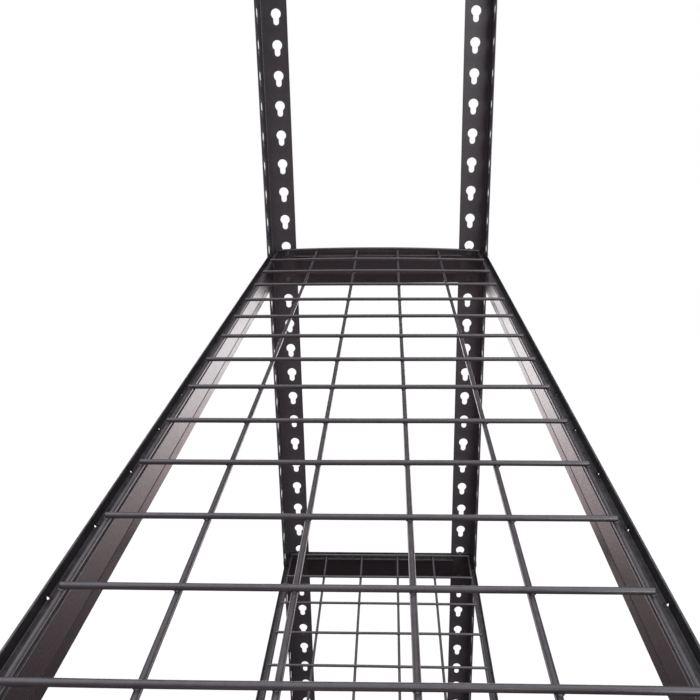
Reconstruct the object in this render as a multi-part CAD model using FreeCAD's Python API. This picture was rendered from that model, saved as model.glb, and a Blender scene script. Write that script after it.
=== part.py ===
import FreeCAD, Part
import math
import os

Vector = FreeCAD.Vector

# Overall size, in millimetres. X runs along the shelf, Y from front to back, Z up from the floor.
unit_width = 914.4
unit_depth = 300.0
post_height = 1524.0

# Angle posts: equal flanges bent from strip, one column of keyholes in each flange.
post_flange = 36.0
post_sheet = 1.2
post_inner_bend = 2.0
slot_pitch = 38.1
slot_inset = 21.75
slot_count = 40
keyhole_radius = 6.35
keyhole_neck = 7.2
keyhole_drop = 10.1

# Shelf levels, from the bottom one up: the keyhole, counted from the top, that takes the upper rivet.
shelf_slots = [37, 26, 13, 0]

# Beams: one folded strip, with a creased web, a doubled ledge for the deck and a lip above it.
# Drain holes are pierced obliquely in the fold of the side beams, one a little beside each cross wire.
beam_height = 48.0
beam_sheet = 1.2
beam_gap = 0.3
crease_height = 11.0
crease_bulge = 1.2
web_top = 37.0
lip_height = 6.8
ledge_depth = 8.0
hem_gap = 0.2
fold_radius = 1.2
side_beam_length = 906.6
end_beam_length = 289.8
ledge_setback = 11.45
crease_run_out = 12.0
corner_cut = 3.0
drain_radius = 1.4
drain_offset = 3.0

# Rivets: the head rides outside the post, the shank in the keyhole's neck, the tail inside the beam.
rivet_drop = 10.3
upper_rivet_height = 42.6
rivet_shank_radius = 3.1
rivet_neck_radius = 2.4
rivet_neck_clearance = 0.05
rivet_head_radius = 5.75
rivet_head_height = 2.0
rivet_head_rim = 0.7
rivet_tail_radius = 4.5
rivet_tail_height = 1.2

# Welded wire deck: long wires on the ledges, cross wires on top of them, sunk a little by the welds.
# One more cross wire lies over each end ledge, a shorter space away from its neighbour.
wire_diameter = 3.5
wire_rest_gap = 0.2
weld_sink = 0.3
long_wire_count = 6
long_wire_pitch = 56.4
long_wire_length = 904.4
cross_wire_count = 14
cross_wire_pitch = 60.9
end_wire_place = 450.0
cross_wire_length = 285.0
wire_end_round = 0.9

# Moulded caps on the feet of the posts.
foot_base = 3.0
foot_wall = 1.6
foot_gap = 0.1
foot_height = 20.0
foot_edge_round = 0.8

# Worked out from the above.
wire_radius = wire_diameter / 2
ledge_top = beam_height - lip_height
beam_standoff = post_sheet + beam_gap
post_top = foot_base + post_height


def spread(count, pitch):
    """Places of evenly spaced things, centred on zero."""
    return [(index - (count - 1) / 2) * pitch for index in range(count)]


def offset_corners(path, shift):
    """Moves an open path sideways to its left by shift, with its corners mitred."""
    moved = []
    for index, point in enumerate(path):
        before = path[index] - path[index - 1] if index > 0 else path[1] - path[0]
        after = path[index + 1] - point if index < len(path) - 1 else before
        left_before = Vector(-before.y, before.x, 0).normalize()
        left_after = Vector(-after.y, after.x, 0).normalize()
        mitre = (left_before + left_after).normalize()
        moved.append(point + mitre * (shift / mitre.dot(left_before)))
    return moved


def rounded_edges(corners, radii):
    """Lines through the corners, with a tangent arc in place of each corner that has a radius."""
    edges = []
    start = corners[0]
    for index in range(1, len(corners) - 1):
        corner = corners[index]
        back = (corners[index - 1] - corner).normalize()
        ahead = (corners[index + 1] - corner).normalize()
        half_angle = back.getAngle(ahead) / 2
        reach = radii[index] / math.tan(half_angle)
        arc_start = corner + back * reach
        arc_end = corner + ahead * reach
        if (arc_start - start).Length > 1e-6:
            edges.append(Part.LineSegment(start, arc_start).toShape())
        if radii[index] > 0:
            inward = (back + ahead).normalize()
            arc_middle = corner + inward * (radii[index] / math.sin(half_angle) - radii[index])
            edges.append(Part.Arc(arc_start, arc_middle, arc_end).toShape())
        start = arc_end
    if (corners[-1] - start).Length > 1e-6:
        edges.append(Part.LineSegment(start, corners[-1]).toShape())
    return edges


def bent_strip(points, bend_radii, sheet):
    """Section of a folded sheet: its middle line, the middle radius of each bend and its thickness."""
    path = [Vector(x, y, 0) for x, y in points]
    sides = []
    for shift in (sheet / 2, -sheet / 2):
        radii = [0.0] * len(path)
        for index in range(1, len(path) - 1):
            before = path[index] - path[index - 1]
            after = path[index + 1] - path[index]
            turn = math.copysign(1.0, before.cross(after).z)
            if bend_radii[index] > 0:
                radii[index] = bend_radii[index] - turn * shift
        sides.append((offset_corners(path, shift), radii))
    (left_corners, left_radii), (right_corners, right_radii) = sides
    edges = rounded_edges(left_corners, left_radii) + rounded_edges(right_corners, right_radii)
    edges.append(Part.LineSegment(left_corners[0], right_corners[0]).toShape())
    edges.append(Part.LineSegment(left_corners[-1], right_corners[-1]).toShape())
    return Part.Face(Part.Wire(Part.sortEdges(edges)[0]))


def keyhole_tool():
    """Cutter for one keyhole in an XZ flange, with the round hole's centre at the origin."""
    neck = keyhole_neck / 2
    shoulder = math.sqrt(keyhole_radius ** 2 - neck ** 2)
    right_shoulder = Vector(neck, 0, -shoulder)
    left_shoulder = Vector(-neck, 0, -shoulder)
    right_foot = Vector(neck, 0, -keyhole_drop)
    left_foot = Vector(-neck, 0, -keyhole_drop)
    outline = Part.Wire([
        Part.Arc(right_shoulder, Vector(0, 0, keyhole_radius), left_shoulder).toShape(),
        Part.LineSegment(left_shoulder, left_foot).toShape(),
        Part.Arc(left_foot, Vector(0, 0, -keyhole_drop - neck), right_foot).toShape(),
        Part.LineSegment(right_foot, right_shoulder).toShape(),
    ])
    depth = 3 * post_sheet
    tool = Part.Face(outline).extrude(Vector(0, depth, 0))
    tool.translate(Vector(0, -post_sheet, 0))
    return tool


def slot_height(slot):
    """Height of a keyhole's round hole, counted from the top of the post."""
    return post_top - slot_pitch / 2 - slot * slot_pitch


def post_path(extra):
    """Middle line of a post's angle section, with its corner at the origin and its ends lengthened."""
    middle = post_sheet / 2
    reach = post_flange + extra
    return [(reach, middle), (middle, middle), (middle, reach)]


def corner_post():
    """One post, with its outer corner on the Z axis and its flanges along +X and +Y."""
    middle_bend = post_inner_bend + post_sheet / 2
    section = bent_strip(post_path(0), [0, middle_bend, 0], post_sheet)
    post = section.extrude(Vector(0, 0, post_height))
    post.translate(Vector(0, 0, foot_base))
    cutters = []
    for slot in range(slot_count):
        front = keyhole_tool()
        front.translate(Vector(slot_inset, 0, slot_height(slot)))
        side = keyhole_tool()
        side.rotate(Vector(0, 0, 0), Vector(0, 0, 1), 90)
        side.translate(Vector(post_sheet, slot_inset, slot_height(slot)))
        cutters += [front, side]
    return post.cut(cutters)


def foot_cap():
    """A moulded cap that wraps the bottom of a post, with the post's corner on the Z axis."""
    middle_bend = post_inner_bend + post_sheet / 2
    overlap = foot_gap + foot_wall
    outer_section = bent_strip(post_path(overlap), [0, middle_bend, 0], post_sheet + 2 * overlap)
    cap = outer_section.extrude(Vector(0, 0, foot_height))
    bottom_edges = [edge for edge in cap.Edges if edge.BoundBox.ZMax < 1e-6]
    cap = cap.makeFillet(foot_edge_round, bottom_edges)
    pocket_section = bent_strip(post_path(foot_gap), [0, middle_bend, 0], post_sheet + 2 * foot_gap)
    pocket = pocket_section.extrude(Vector(0, 0, foot_height))
    pocket.translate(Vector(0, 0, foot_base))
    return cap.cut(pocket)


def along_x(section, start, end):
    """Turns a section drawn as (inward, up) into a bar from start to end along X."""
    bar = section.extrude(Vector(0, 0, end - start))
    bar.rotate(Vector(0, 0, 0), Vector(1, 1, 1), 120)
    bar.translate(Vector(start, 0, 0))
    return bar


def folded_section():
    """Beam section where it has its ledge: creased web, doubled ledge with a hemmed edge, lip."""
    middle = beam_sheet / 2
    upper = ledge_top - middle
    lower = upper - beam_sheet - hem_gap
    hem = beam_sheet + ledge_depth - middle
    hem_radius = (upper - lower) / 2
    points = [
        (middle, 0),
        (middle + crease_bulge, crease_height),
        (middle, web_top),
        (middle, lower),
        (hem, lower),
        (hem, upper),
        (middle, upper),
        (middle, beam_height),
    ]
    radii = [0, 0, 0, fold_radius, hem_radius, hem_radius, fold_radius, 0]
    return bent_strip(points, radii, beam_sheet)


def web_outline(bulge, place):
    """Closed outline of the web below the ledge, in a plane of constant X."""
    points = [
        Vector(place, 0, 0),
        Vector(place, bulge, crease_height),
        Vector(place, 0, web_top),
        Vector(place, beam_sheet, web_top),
        Vector(place, beam_sheet + bulge, crease_height),
        Vector(place, beam_sheet, 0),
    ]
    return Part.makePolygon(points + [points[0]])


def end_plate(outer, inner):
    """Flat full-height end of a beam, from its cut corners at outer to inner, on the +X side."""
    points = [
        Vector(inner, 0, 0),
        Vector(outer - corner_cut, 0, 0),
        Vector(outer, 0, corner_cut),
        Vector(outer, 0, beam_height - corner_cut),
        Vector(outer - corner_cut, 0, beam_height),
        Vector(inner, 0, beam_height),
    ]
    plate = Part.Face(Part.makePolygon(points + [points[0]]))
    return plate.extrude(Vector(0, beam_sheet, 0))


def beam(length, rivet_place, drain_places):
    """A beam with its outer face on Y = 0, inward along +Y, its bottom edge on Z = 0."""
    ledge_end = rivet_place - ledge_setback
    crease_end = ledge_end - crease_run_out
    body = along_x(folded_section(), -crease_end, crease_end)
    pieces = []
    for side in (1, -1):
        run_out = Part.makeLoft(
            [web_outline(crease_bulge, side * crease_end), web_outline(0, side * ledge_end)], True, True)
        fold = along_x(folded_section(), crease_end, ledge_end)
        keep_top = Part.makeBox(crease_run_out, ledge_depth + 3 * beam_sheet, beam_height,
                                Vector(crease_end, -beam_sheet, web_top))
        fold = fold.common(keep_top)
        plate = end_plate(length / 2, ledge_end)
        if side < 0:
            mirror_plane = (Vector(0, 0, 0), Vector(1, 0, 0))
            fold = fold.mirror(*mirror_plane)
            plate = plate.mirror(*mirror_plane)
        pieces += [run_out, fold, plate]
    body = body.fuse(pieces).removeSplitter()
    cutters = []
    for side in (1, -1):
        for height in (upper_rivet_height, upper_rivet_height - slot_pitch):
            cutters.append(Part.makeCylinder(
                rivet_neck_radius + rivet_neck_clearance, 3 * beam_sheet,
                Vector(side * rivet_place, -beam_sheet, height), Vector(0, 1, 0)))
    for place in drain_places:
        inside = Vector(place, beam_sheet + 3, ledge_top + 3)
        cutters.append(Part.makeCylinder(drain_radius, 8, inside, Vector(0, -1, -1)))
    return body.cut(cutters)


def rivet():
    """One rivet on the Y axis, its shoulder against a beam face at Y = 0 and its head towards -Y."""
    head_under = -(2 * beam_gap + post_sheet)
    head_top = head_under - rivet_head_height
    rim = head_under - rivet_head_rim
    tail_top = beam_sheet + rivet_tail_height
    tail_rim = beam_sheet + rivet_tail_height / 3

    def at(radius, place):
        return Vector(radius, place, 0)

    dome_rise = rivet_head_height - rivet_head_rim
    tail_rise = tail_top - tail_rim
    lines = [
        (at(0, tail_top), at(0, head_top)),
        (at(rivet_head_radius, rim), at(rivet_head_radius, head_under)),
        (at(rivet_head_radius, head_under), at(rivet_shank_radius, head_under)),
        (at(rivet_shank_radius, head_under), at(rivet_shank_radius, 0)),
        (at(rivet_shank_radius, 0), at(rivet_neck_radius, 0)),
        (at(rivet_neck_radius, 0), at(rivet_neck_radius, beam_sheet)),
        (at(rivet_neck_radius, beam_sheet), at(rivet_tail_radius, beam_sheet)),
        (at(rivet_tail_radius, beam_sheet), at(rivet_tail_radius, tail_rim)),
    ]
    edges = [Part.LineSegment(start, end).toShape() for start, end in lines]
    edges.append(dome_arc(rivet_head_radius, rim, -dome_rise))
    edges.append(dome_arc(rivet_tail_radius, tail_rim, tail_rise))
    profile = Part.Face(Part.Wire(Part.sortEdges(edges)[0]))
    return profile.revolve(Vector(0, 0, 0), Vector(0, 1, 0), 360)


def dome_arc(radius, rim, rise):
    """Arc of a shallow dome, from its rim at radius to its crown on the axis."""
    sphere = (radius ** 2 + rise ** 2) / (2 * abs(rise))
    half_turn = math.asin(radius / sphere) / 2
    middle_radius = sphere * math.sin(half_turn)
    drop = sphere * (1 - math.cos(half_turn))
    middle_place = rim + rise - math.copysign(drop, rise)
    return Part.Arc(Vector(radius, rim, 0), Vector(middle_radius, middle_place, 0),
                    Vector(0, rim + rise, 0)).toShape()


def rivet_group(rivet_place):
    """The four rivets of a beam, two at each end, as separate solids."""
    group = []
    for side in (1, -1):
        for height in (upper_rivet_height, upper_rivet_height - slot_pitch):
            copy = rivet()
            copy.translate(Vector(side * rivet_place, 0, height))
            group.append(copy)
    return Part.makeCompound(group)


def wire(length):
    """One straight wire along X, centred, with its end edges rounded."""
    rod = Part.makeCylinder(wire_radius, length, Vector(-length / 2, 0, 0), Vector(1, 0, 0))
    rims = [edge for edge in rod.Edges if edge.Closed]
    return rod.makeFillet(wire_end_round, rims)


def stand(shape, angle, distance, height):
    """Puts a front-facing shape on one side of the unit: turned by angle, its face distance out."""
    placed = shape.copy()
    placed.translate(Vector(0, -distance, height))
    placed.rotate(Vector(0, 0, 0), Vector(0, 0, 1), angle)
    return placed


def write(name, shape):
    """Saves one sub-part."""
    solids = shape.Solids
    assert solids and all(solid.isValid() for solid in solids), name
    out = solids[0] if len(solids) == 1 else Part.makeCompound(solids)
    out.exportStep(os.path.join("parts", name + ".step"))
    print(name, len(solids), round(sum(solid.Volume for solid in solids), 1))


def write_corners():
    """Posts and foot caps: the same shape turned about Z by quarter turns, at the four corners."""
    post = corner_post()
    cap = foot_cap()
    half_width = unit_width / 2
    half_depth = unit_depth / 2
    corners = [
        ("front_left", 0, -half_width, -half_depth),
        ("front_right", 90, half_width, -half_depth),
        ("back_right", 180, half_width, half_depth),
        ("back_left", 270, -half_width, half_depth),
    ]
    for name, angle, x, y in corners:
        for kind, shape in (("post", post), ("foot", cap)):
            placed = shape.copy()
            placed.rotate(Vector(0, 0, 0), Vector(0, 0, 1), angle)
            placed.translate(Vector(x, y, 0))
            write(kind + "_" + name, placed)


def write_shelves():
    """Beams, rivets and wire deck of every shelf."""
    side_rivet = unit_width / 2 - slot_inset
    end_rivet = unit_depth / 2 - slot_inset
    inner_places = spread(cross_wire_count, cross_wire_pitch)
    drain_limit = side_rivet - ledge_setback - 2 * drain_radius
    front_drains = [place + drain_offset for place in inner_places if abs(place + drain_offset) < drain_limit]
    back_drains = [-place for place in front_drains]
    front_beam = beam(side_beam_length, side_rivet, front_drains)
    back_beam = beam(side_beam_length, side_rivet, back_drains)
    end_beam = beam(end_beam_length, end_rivet, [])
    side_distance = unit_depth / 2 - beam_standoff
    end_distance = unit_width / 2 - beam_standoff
    sides = [
        ("front", 0, front_beam, side_rivet, side_distance),
        ("right", 90, end_beam, end_rivet, end_distance),
        ("back", 180, back_beam, side_rivet, side_distance),
        ("left", 270, end_beam, end_rivet, end_distance),
    ]
    long_height = ledge_top + wire_rest_gap + wire_radius
    cross_height = long_height + wire_diameter - weld_sink
    for level, slot in enumerate(shelf_slots, start=1):
        beam_bottom = slot_height(slot) - rivet_drop - upper_rivet_height
        for side, angle, shape, rivet_place, distance in sides:
            write(f"beam_{side}_{level}", stand(shape, angle, distance, beam_bottom))
            write(f"rivets_{side}_{level}", stand(rivet_group(rivet_place), angle, distance, beam_bottom))
        long_wires = []
        for place in spread(long_wire_count, long_wire_pitch):
            rod = wire(long_wire_length)
            rod.translate(Vector(0, place, beam_bottom + long_height))
            long_wires.append(rod)
        write(f"deck_long_wires_{level}", Part.makeCompound(long_wires))
        cross_wires = []
        for place in [-end_wire_place] + inner_places + [end_wire_place]:
            rod = wire(cross_wire_length)
            rod.rotate(Vector(0, 0, 0), Vector(0, 0, 1), 90)
            rod.translate(Vector(place, 0, beam_bottom + cross_height))
            cross_wires.append(rod)
        write(f"deck_cross_wires_{level}", Part.makeCompound(cross_wires))


os.makedirs("parts", exist_ok=True)
write_corners()
write_shelves()
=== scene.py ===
import bpy
import math
import numpy as np
from mathutils import Matrix, Vector


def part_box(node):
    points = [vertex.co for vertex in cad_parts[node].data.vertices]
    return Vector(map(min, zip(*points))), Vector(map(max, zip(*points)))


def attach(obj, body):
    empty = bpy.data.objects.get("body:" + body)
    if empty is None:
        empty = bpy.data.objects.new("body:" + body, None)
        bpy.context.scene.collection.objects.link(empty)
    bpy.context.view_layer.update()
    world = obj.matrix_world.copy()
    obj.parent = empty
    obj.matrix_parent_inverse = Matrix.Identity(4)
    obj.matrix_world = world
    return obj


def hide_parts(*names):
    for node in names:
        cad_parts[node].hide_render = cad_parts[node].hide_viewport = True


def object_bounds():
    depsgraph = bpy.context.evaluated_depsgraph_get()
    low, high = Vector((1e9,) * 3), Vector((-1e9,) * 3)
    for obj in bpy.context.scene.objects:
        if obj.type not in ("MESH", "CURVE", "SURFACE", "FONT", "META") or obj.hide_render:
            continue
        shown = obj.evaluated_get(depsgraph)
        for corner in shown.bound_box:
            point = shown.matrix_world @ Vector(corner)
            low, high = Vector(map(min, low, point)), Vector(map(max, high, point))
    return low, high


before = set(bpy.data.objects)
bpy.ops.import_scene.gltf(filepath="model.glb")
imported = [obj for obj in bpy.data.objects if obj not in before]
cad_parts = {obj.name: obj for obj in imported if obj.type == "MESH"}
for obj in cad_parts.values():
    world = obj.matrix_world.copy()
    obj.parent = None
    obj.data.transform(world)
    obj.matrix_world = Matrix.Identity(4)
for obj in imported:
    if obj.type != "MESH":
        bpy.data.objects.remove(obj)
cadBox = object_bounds()
levels = (1, 2, 3, 4)
sideTurns = {"front": 0, "right": 90, "back": 180, "left": 270}
longSides = ("front", "back")
cornerTurns = {"front_left": 0, "front_right": 90, "back_right": 180, "back_left": 270}
print("frame loaded")

meshValues = {"weldStep": 1e-6, "sharpAngle": 50.0}


def turnedAboutZ(points, degrees):
    # x and y are mixed by the cosine and sine of the turn, z stays
    angle = math.radians(degrees)
    cosine, sine = math.cos(angle), math.sin(angle)
    turned = points.copy()
    turned[..., 0] = cosine * points[..., 0] - sine * points[..., 1]
    turned[..., 1] = sine * points[..., 0] + cosine * points[..., 1]
    return turned


def gridFaces(rows, columns, closed=False):
    # vertex number = row * columns + column; each face joins two neighbours in both directions
    row = np.arange(rows - 1)[:, None]
    column = np.arange(columns if closed else columns - 1)[None, :]
    nextColumn = (column + 1) % columns
    first = row * columns + column
    second = row * columns + nextColumn
    return np.stack([first, second, second + columns, first + columns], axis=-1).reshape(-1, 4)


def signedVolume(points, groups):
    # sum over fans of triangles of a . (b x c) / 6, positive when the faces point outwards
    total = 0.0
    for group in groups:
        corners = points[group]
        first = corners[..., 0, :]
        for index in range(1, corners.shape[-2] - 1):
            cross = np.cross(corners[..., index, :], corners[..., index + 1, :])
            total += float(np.sum(first * cross))
    return total / 6


class Shell:
    # points, their edge mask, and groups of faces with the same number of corners, for one closed mesh
    def __init__(self):
        self.points, self.masks, self.faces, self.count = [], [], [], 0

    def add(self, points, faces, mask=0.0):
        flat = np.asarray(points, float).reshape(-1, 3)
        self.points.append(flat)
        self.masks.append(np.broadcast_to(np.asarray(mask, float), np.shape(points)[:-1]).reshape(-1))
        if len(faces):
            self.faces.append(faces + self.count)
        self.count += len(flat)

    def addPointed(self, rings, tips, mask):
        # rings of one closed skin, with its first and last ring drawn in to a tip
        rows, sides = rings.shape[:2]
        first = self.count + np.arange(sides)
        last = first + (rows - 1) * sides
        tip = np.full(sides, self.count + rows * sides)
        self.add(rings, gridFaces(rows, sides, closed=True), mask)
        self.add(tips, [])
        self.faces.append(np.stack([tip, np.roll(first, -1), first], -1))
        self.faces.append(np.stack([tip + 1, last, np.roll(last, -1)], -1))

    def addCapped(self, rings, mask=0.0):
        # rings of one closed skin, with one flat face over its first and one over its last ring
        rows, sides = rings.shape[:2]
        first = self.count + np.arange(sides)[None]
        self.add(rings, gridFaces(rows, sides, closed=True), mask)
        self.faces.append(first[:, ::-1])
        self.faces.append(first + (rows - 1) * sides)

    def welded(self):
        # points that fall on one step of the grid become one; a face loses its doubled corners,
        # and one that is left with fewer than three is dropped
        points, masks = np.concatenate(self.points), np.concatenate(self.masks)
        keys = np.round(points / meshValues["weldStep"]).astype(np.int64)
        _, index, inverse = np.unique(keys, axis=0, return_index=True, return_inverse=True)
        inverse = inverse.reshape(-1)
        groups = []
        for group in self.faces:
            group = inverse[group]
            kept = group != np.roll(group, 1, axis=1)
            corners = kept.sum(axis=1)
            for count in np.unique(corners[corners > 2]):
                rows = corners == count
                groups.append(group[rows][kept[rows]].reshape(-1, count))
        points = points[index]
        if signedVolume(points, groups) < 0:
            groups = [group[:, ::-1] for group in groups]
        return points, masks[index], groups


def meshFrom(name, points, masks, groups):
    mesh = bpy.data.meshes.new(name)
    mesh.from_pydata(points.tolist(), [], [face for group in groups for face in group.tolist()])
    # the rim attribute holds the edge mask for wear; below zero it holds the painted shade along the beam's
    # crease
    rim = mesh.attributes.new("rim", "FLOAT", "POINT")
    rim.data.foreach_set("value", masks.astype(np.float32))
    mesh.validate()
    mesh.shade_smooth()
    mesh.set_sharp_from_angle(angle=math.radians(meshValues["sharpAngle"]))
    return mesh


def addPiece(name, mesh, body, nodes, material, evenNormals=True):
    piece = bpy.data.objects.new(name, mesh)
    bpy.context.scene.collection.objects.link(piece)
    mesh.materials.clear()
    mesh.materials.append(material)
    if evenNormals:
        finish = piece.modifiers.new("evenNormals", "WEIGHTED_NORMAL")
        finish.keep_sharp = True
    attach(piece, body)
    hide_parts(*nodes)
    return piece


def newGroup(name, inputs, outputs):
    group = bpy.data.node_groups.new(name, "ShaderNodeTree")
    for label, kind, value in inputs:
        socket = group.interface.new_socket(label, in_out="INPUT", socket_type=kind)
        if value is not None:
            socket.default_value = value
    for label, kind in outputs:
        group.interface.new_socket(label, in_out="OUTPUT", socket_type=kind)
    return group, group.nodes.new("NodeGroupInput"), group.nodes.new("NodeGroupOutput")


def mathNode(tree, operation, first, second=None, third=None, clamp=False):
    node = tree.nodes.new("ShaderNodeMath")
    node.operation = operation
    node.use_clamp = clamp
    for index, value in enumerate((first, second, third)):
        if isinstance(value, (int, float)):
            node.inputs[index].default_value = value
        elif value is not None:
            tree.links.new(value, node.inputs[index])
    return node.outputs[0]


def noiseNode(tree, vector, scale, detail=2.0, roughness=0.5):
    node = tree.nodes.new("ShaderNodeTexNoise")
    node.inputs["Detail"].default_value = detail
    node.inputs["Roughness"].default_value = roughness
    tree.links.new(vector, node.inputs["Vector"])
    if isinstance(scale, (int, float)):
        node.inputs["Scale"].default_value = scale
    else:
        tree.links.new(scale, node.inputs["Scale"])
    return node.outputs["Fac"]


def mixColour(tree, factor, first, second):
    node = tree.nodes.new("ShaderNodeMix")
    node.data_type = "RGBA"
    for socket, value in ((node.inputs[0], factor), (node.inputs[6], first), (node.inputs[7], second)):
        if isinstance(value, bpy.types.NodeSocket):
            tree.links.new(value, socket)
        else:
            socket.default_value = value
    return node.outputs[2]


powderPattern = {
    "driftScale": 9.0, "cloudScale": 60.0, "driftShare": 0.7, "cloudShare": 0.5, "thinFrom": 0.25,
    "fineRatio": 3.7, "fineShare": 0.35, "glossCloud": 0.6, "glossFine": 0.4,
}


def buildPowderGroup():
    # orange peel: a broad soft noise plus a fine one, as height; a slow drift also moves colour and gloss
    v = powderPattern
    group, given, result = newGroup("powderCoat", [
        ("Vector", "NodeSocketVector", None),
        ("Colour", "NodeSocketColor", (0.03, 0.03, 0.03, 1)),
        ("Thin Colour", "NodeSocketColor", (0.05, 0.05, 0.05, 1)),
        ("Roughness", "NodeSocketFloat", 0.4),
        ("Roughness Spread", "NodeSocketFloat", 0.1),
        ("Peel Scale", "NodeSocketFloat", 600.0),
        ("Peel Depth", "NodeSocketFloat", 0.00002),
    ], [("Colour", "NodeSocketColor"), ("Roughness", "NodeSocketFloat"), ("Normal", "NodeSocketVector")])
    vector = given.outputs["Vector"]
    drift = noiseNode(group, vector, v["driftScale"], 3.0)
    cloud = noiseNode(group, vector, v["cloudScale"], 4.0, 0.6)
    patches = mathNode(group, "MULTIPLY", cloud, v["cloudShare"])
    thin = mathNode(group, "MULTIPLY_ADD", drift, v["driftShare"], patches)
    thin = mathNode(group, "SUBTRACT", thin, v["thinFrom"], clamp=True)
    group.links.new(mixColour(group, thin, given.outputs["Colour"], given.outputs["Thin Colour"]),
                    result.inputs["Colour"])
    peel = noiseNode(group, vector, given.outputs["Peel Scale"], 1.0, 0.4)
    fineScale = mathNode(group, "MULTIPLY", given.outputs["Peel Scale"], v["fineRatio"])
    fine = noiseNode(group, vector, fineScale, 2.0, 0.6)
    height = mathNode(group, "MULTIPLY_ADD", fine, v["fineShare"], peel)
    grain = mathNode(group, "MULTIPLY", fine, v["glossFine"])
    gloss = mathNode(group, "MULTIPLY_ADD", cloud, v["glossCloud"], grain)
    gloss = mathNode(group, "SUBTRACT", gloss, 0.5)
    gloss = mathNode(group, "MULTIPLY", gloss, given.outputs["Roughness Spread"])
    group.links.new(mathNode(group, "ADD", gloss, given.outputs["Roughness"], clamp=True),
                    result.inputs["Roughness"])
    bump = group.nodes.new("ShaderNodeBump")
    bump.inputs["Strength"].default_value = 1.0
    group.links.new(given.outputs["Peel Depth"], bump.inputs["Distance"])
    group.links.new(height, bump.inputs["Height"])
    group.links.new(bump.outputs["Normal"], result.inputs["Normal"])
    return group


rubbedPattern = {"patchScale": 35.0, "gritScale": 420.0, "gritShare": 0.5, "bareFrom": 0.62, "contrast": 4.0}


def buildWearAndCreaseShadeGroup():
    # handling marks: the edge mask of the mesh, broken up by two noises; below zero it marks the crease
    # line, which gets painted shade
    v = rubbedPattern
    group, given, result = newGroup("rubbedEdgeAndCreaseShade", [
        ("Vector", "NodeSocketVector", None),
        ("Edge", "NodeSocketFloat", 0.0),
        ("Amount", "NodeSocketFloat", 0.3),
    ], [("Mask", "NodeSocketFloat"), ("Crease Shade", "NodeSocketFloat")])
    vector = given.outputs["Vector"]
    edge = mathNode(group, "MULTIPLY", given.outputs["Edge"], 1.0, clamp=True)
    # where the edge mask is below zero: the mask for the painted shade along the crease, not wear
    creaseShade = mathNode(group, "MULTIPLY", given.outputs["Edge"], -1.0, clamp=True)
    group.links.new(creaseShade, result.inputs["Crease Shade"])
    patches = noiseNode(group, vector, v["patchScale"], 4.0, 0.7)
    grit = noiseNode(group, vector, v["gritScale"], 2.0, 0.6)
    broken = mathNode(group, "MULTIPLY_ADD", grit, v["gritShare"], patches)
    broken = mathNode(group, "SUBTRACT", broken, v["bareFrom"], clamp=True)
    broken = mathNode(group, "MULTIPLY", broken, v["contrast"], clamp=True)
    worn = mathNode(group, "MULTIPLY", broken, edge)
    group.links.new(mathNode(group, "MULTIPLY", worn, given.outputs["Amount"]), result.inputs["Mask"])
    return group


dustPattern = {"cloudScale": 140.0, "gatherFrom": 0.3}


def buildDustGroup():
    # dust lies where the surface faces up: the upward part of the normal, squared, times a soft noise
    v = dustPattern
    group, given, result = newGroup("settledDust", [
        ("Vector", "NodeSocketVector", None),
        ("Amount", "NodeSocketFloat", 0.2),
    ], [("Mask", "NodeSocketFloat")])
    geometry = group.nodes.new("ShaderNodeNewGeometry")
    split = group.nodes.new("ShaderNodeSeparateXYZ")
    group.links.new(geometry.outputs["Normal"], split.inputs[0])
    upward = mathNode(group, "MAXIMUM", split.outputs["Z"], 0.0)
    upward = mathNode(group, "POWER", upward, 2.0)
    cloud = noiseNode(group, given.outputs["Vector"], v["cloudScale"], 5.0, 0.65)
    cloud = mathNode(group, "SUBTRACT", cloud, v["gatherFrom"], clamp=True)
    mask = mathNode(group, "MULTIPLY", upward, cloud)
    group.links.new(mathNode(group, "MULTIPLY", mask, given.outputs["Amount"], clamp=True),
                    result.inputs["Mask"])
    return group


shaderGroups = {
    "powder": buildPowderGroup(),
    "wearAndCreaseShade": buildWearAndCreaseShadeGroup(),
    "dust": buildDustGroup(),
}

coatValues = {
    "postCoat": {
        "colour": (0.030, 0.028, 0.034), "thinColour": (0.053, 0.049, 0.056), "roughness": 0.38,
        "roughnessSpread": 0.14, "peelScale": 520.0, "peelDepth": 0.00008, "specular": 0.5,
        "edgeAmount": 0.30, "edgeColour": (0.13, 0.125, 0.12), "dustAmount": 0.35,
    },
    "beamCoat": {
        "colour": (0.0060, 0.0050, 0.0068), "thinColour": (0.0150, 0.0125, 0.0155), "roughness": 0.29,
        "roughnessSpread": 0.14, "peelScale": 560.0, "peelDepth": 0.00008, "specular": 0.5,
        "edgeAmount": 0.30, "edgeColour": (0.12, 0.115, 0.11), "dustAmount": 0.35,
    },
    "wireCoat": {
        "colour": (0.024, 0.021, 0.025), "thinColour": (0.047, 0.040, 0.047), "roughness": 0.32,
        "roughnessSpread": 0.12, "peelScale": 900.0, "peelDepth": 0.00003, "specular": 0.55,
        "edgeAmount": 0.25, "edgeColour": (0.14, 0.13, 0.13), "dustAmount": 0.30,
    },
    "rivetCoat": {
        "colour": (0.026, 0.025, 0.026), "thinColour": (0.05, 0.048, 0.047), "roughness": 0.33,
        "roughnessSpread": 0.16, "peelScale": 800.0, "peelDepth": 0.00004, "specular": 0.55,
        "edgeAmount": 0.55, "edgeColour": (0.22, 0.215, 0.21), "dustAmount": 0.2,
    },
    "footPlastic": {
        "colour": (0.016, 0.016, 0.0165), "thinColour": (0.024, 0.024, 0.024), "roughness": 0.52,
        "roughnessSpread": 0.12, "peelScale": 1600.0, "peelDepth": 0.00004, "specular": 0.45,
        "edgeAmount": 0.0, "edgeColour": (0.1, 0.1, 0.1), "dustAmount": 0.5,
    },
}
# the crease colour is painted shade: a near-black line along the crease of the beam web
layerValues = {"dustColour": (0.30, 0.285, 0.265), "creaseShadeColour": (0.004, 0.0035, 0.004), "dulling": 0.5}


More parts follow.
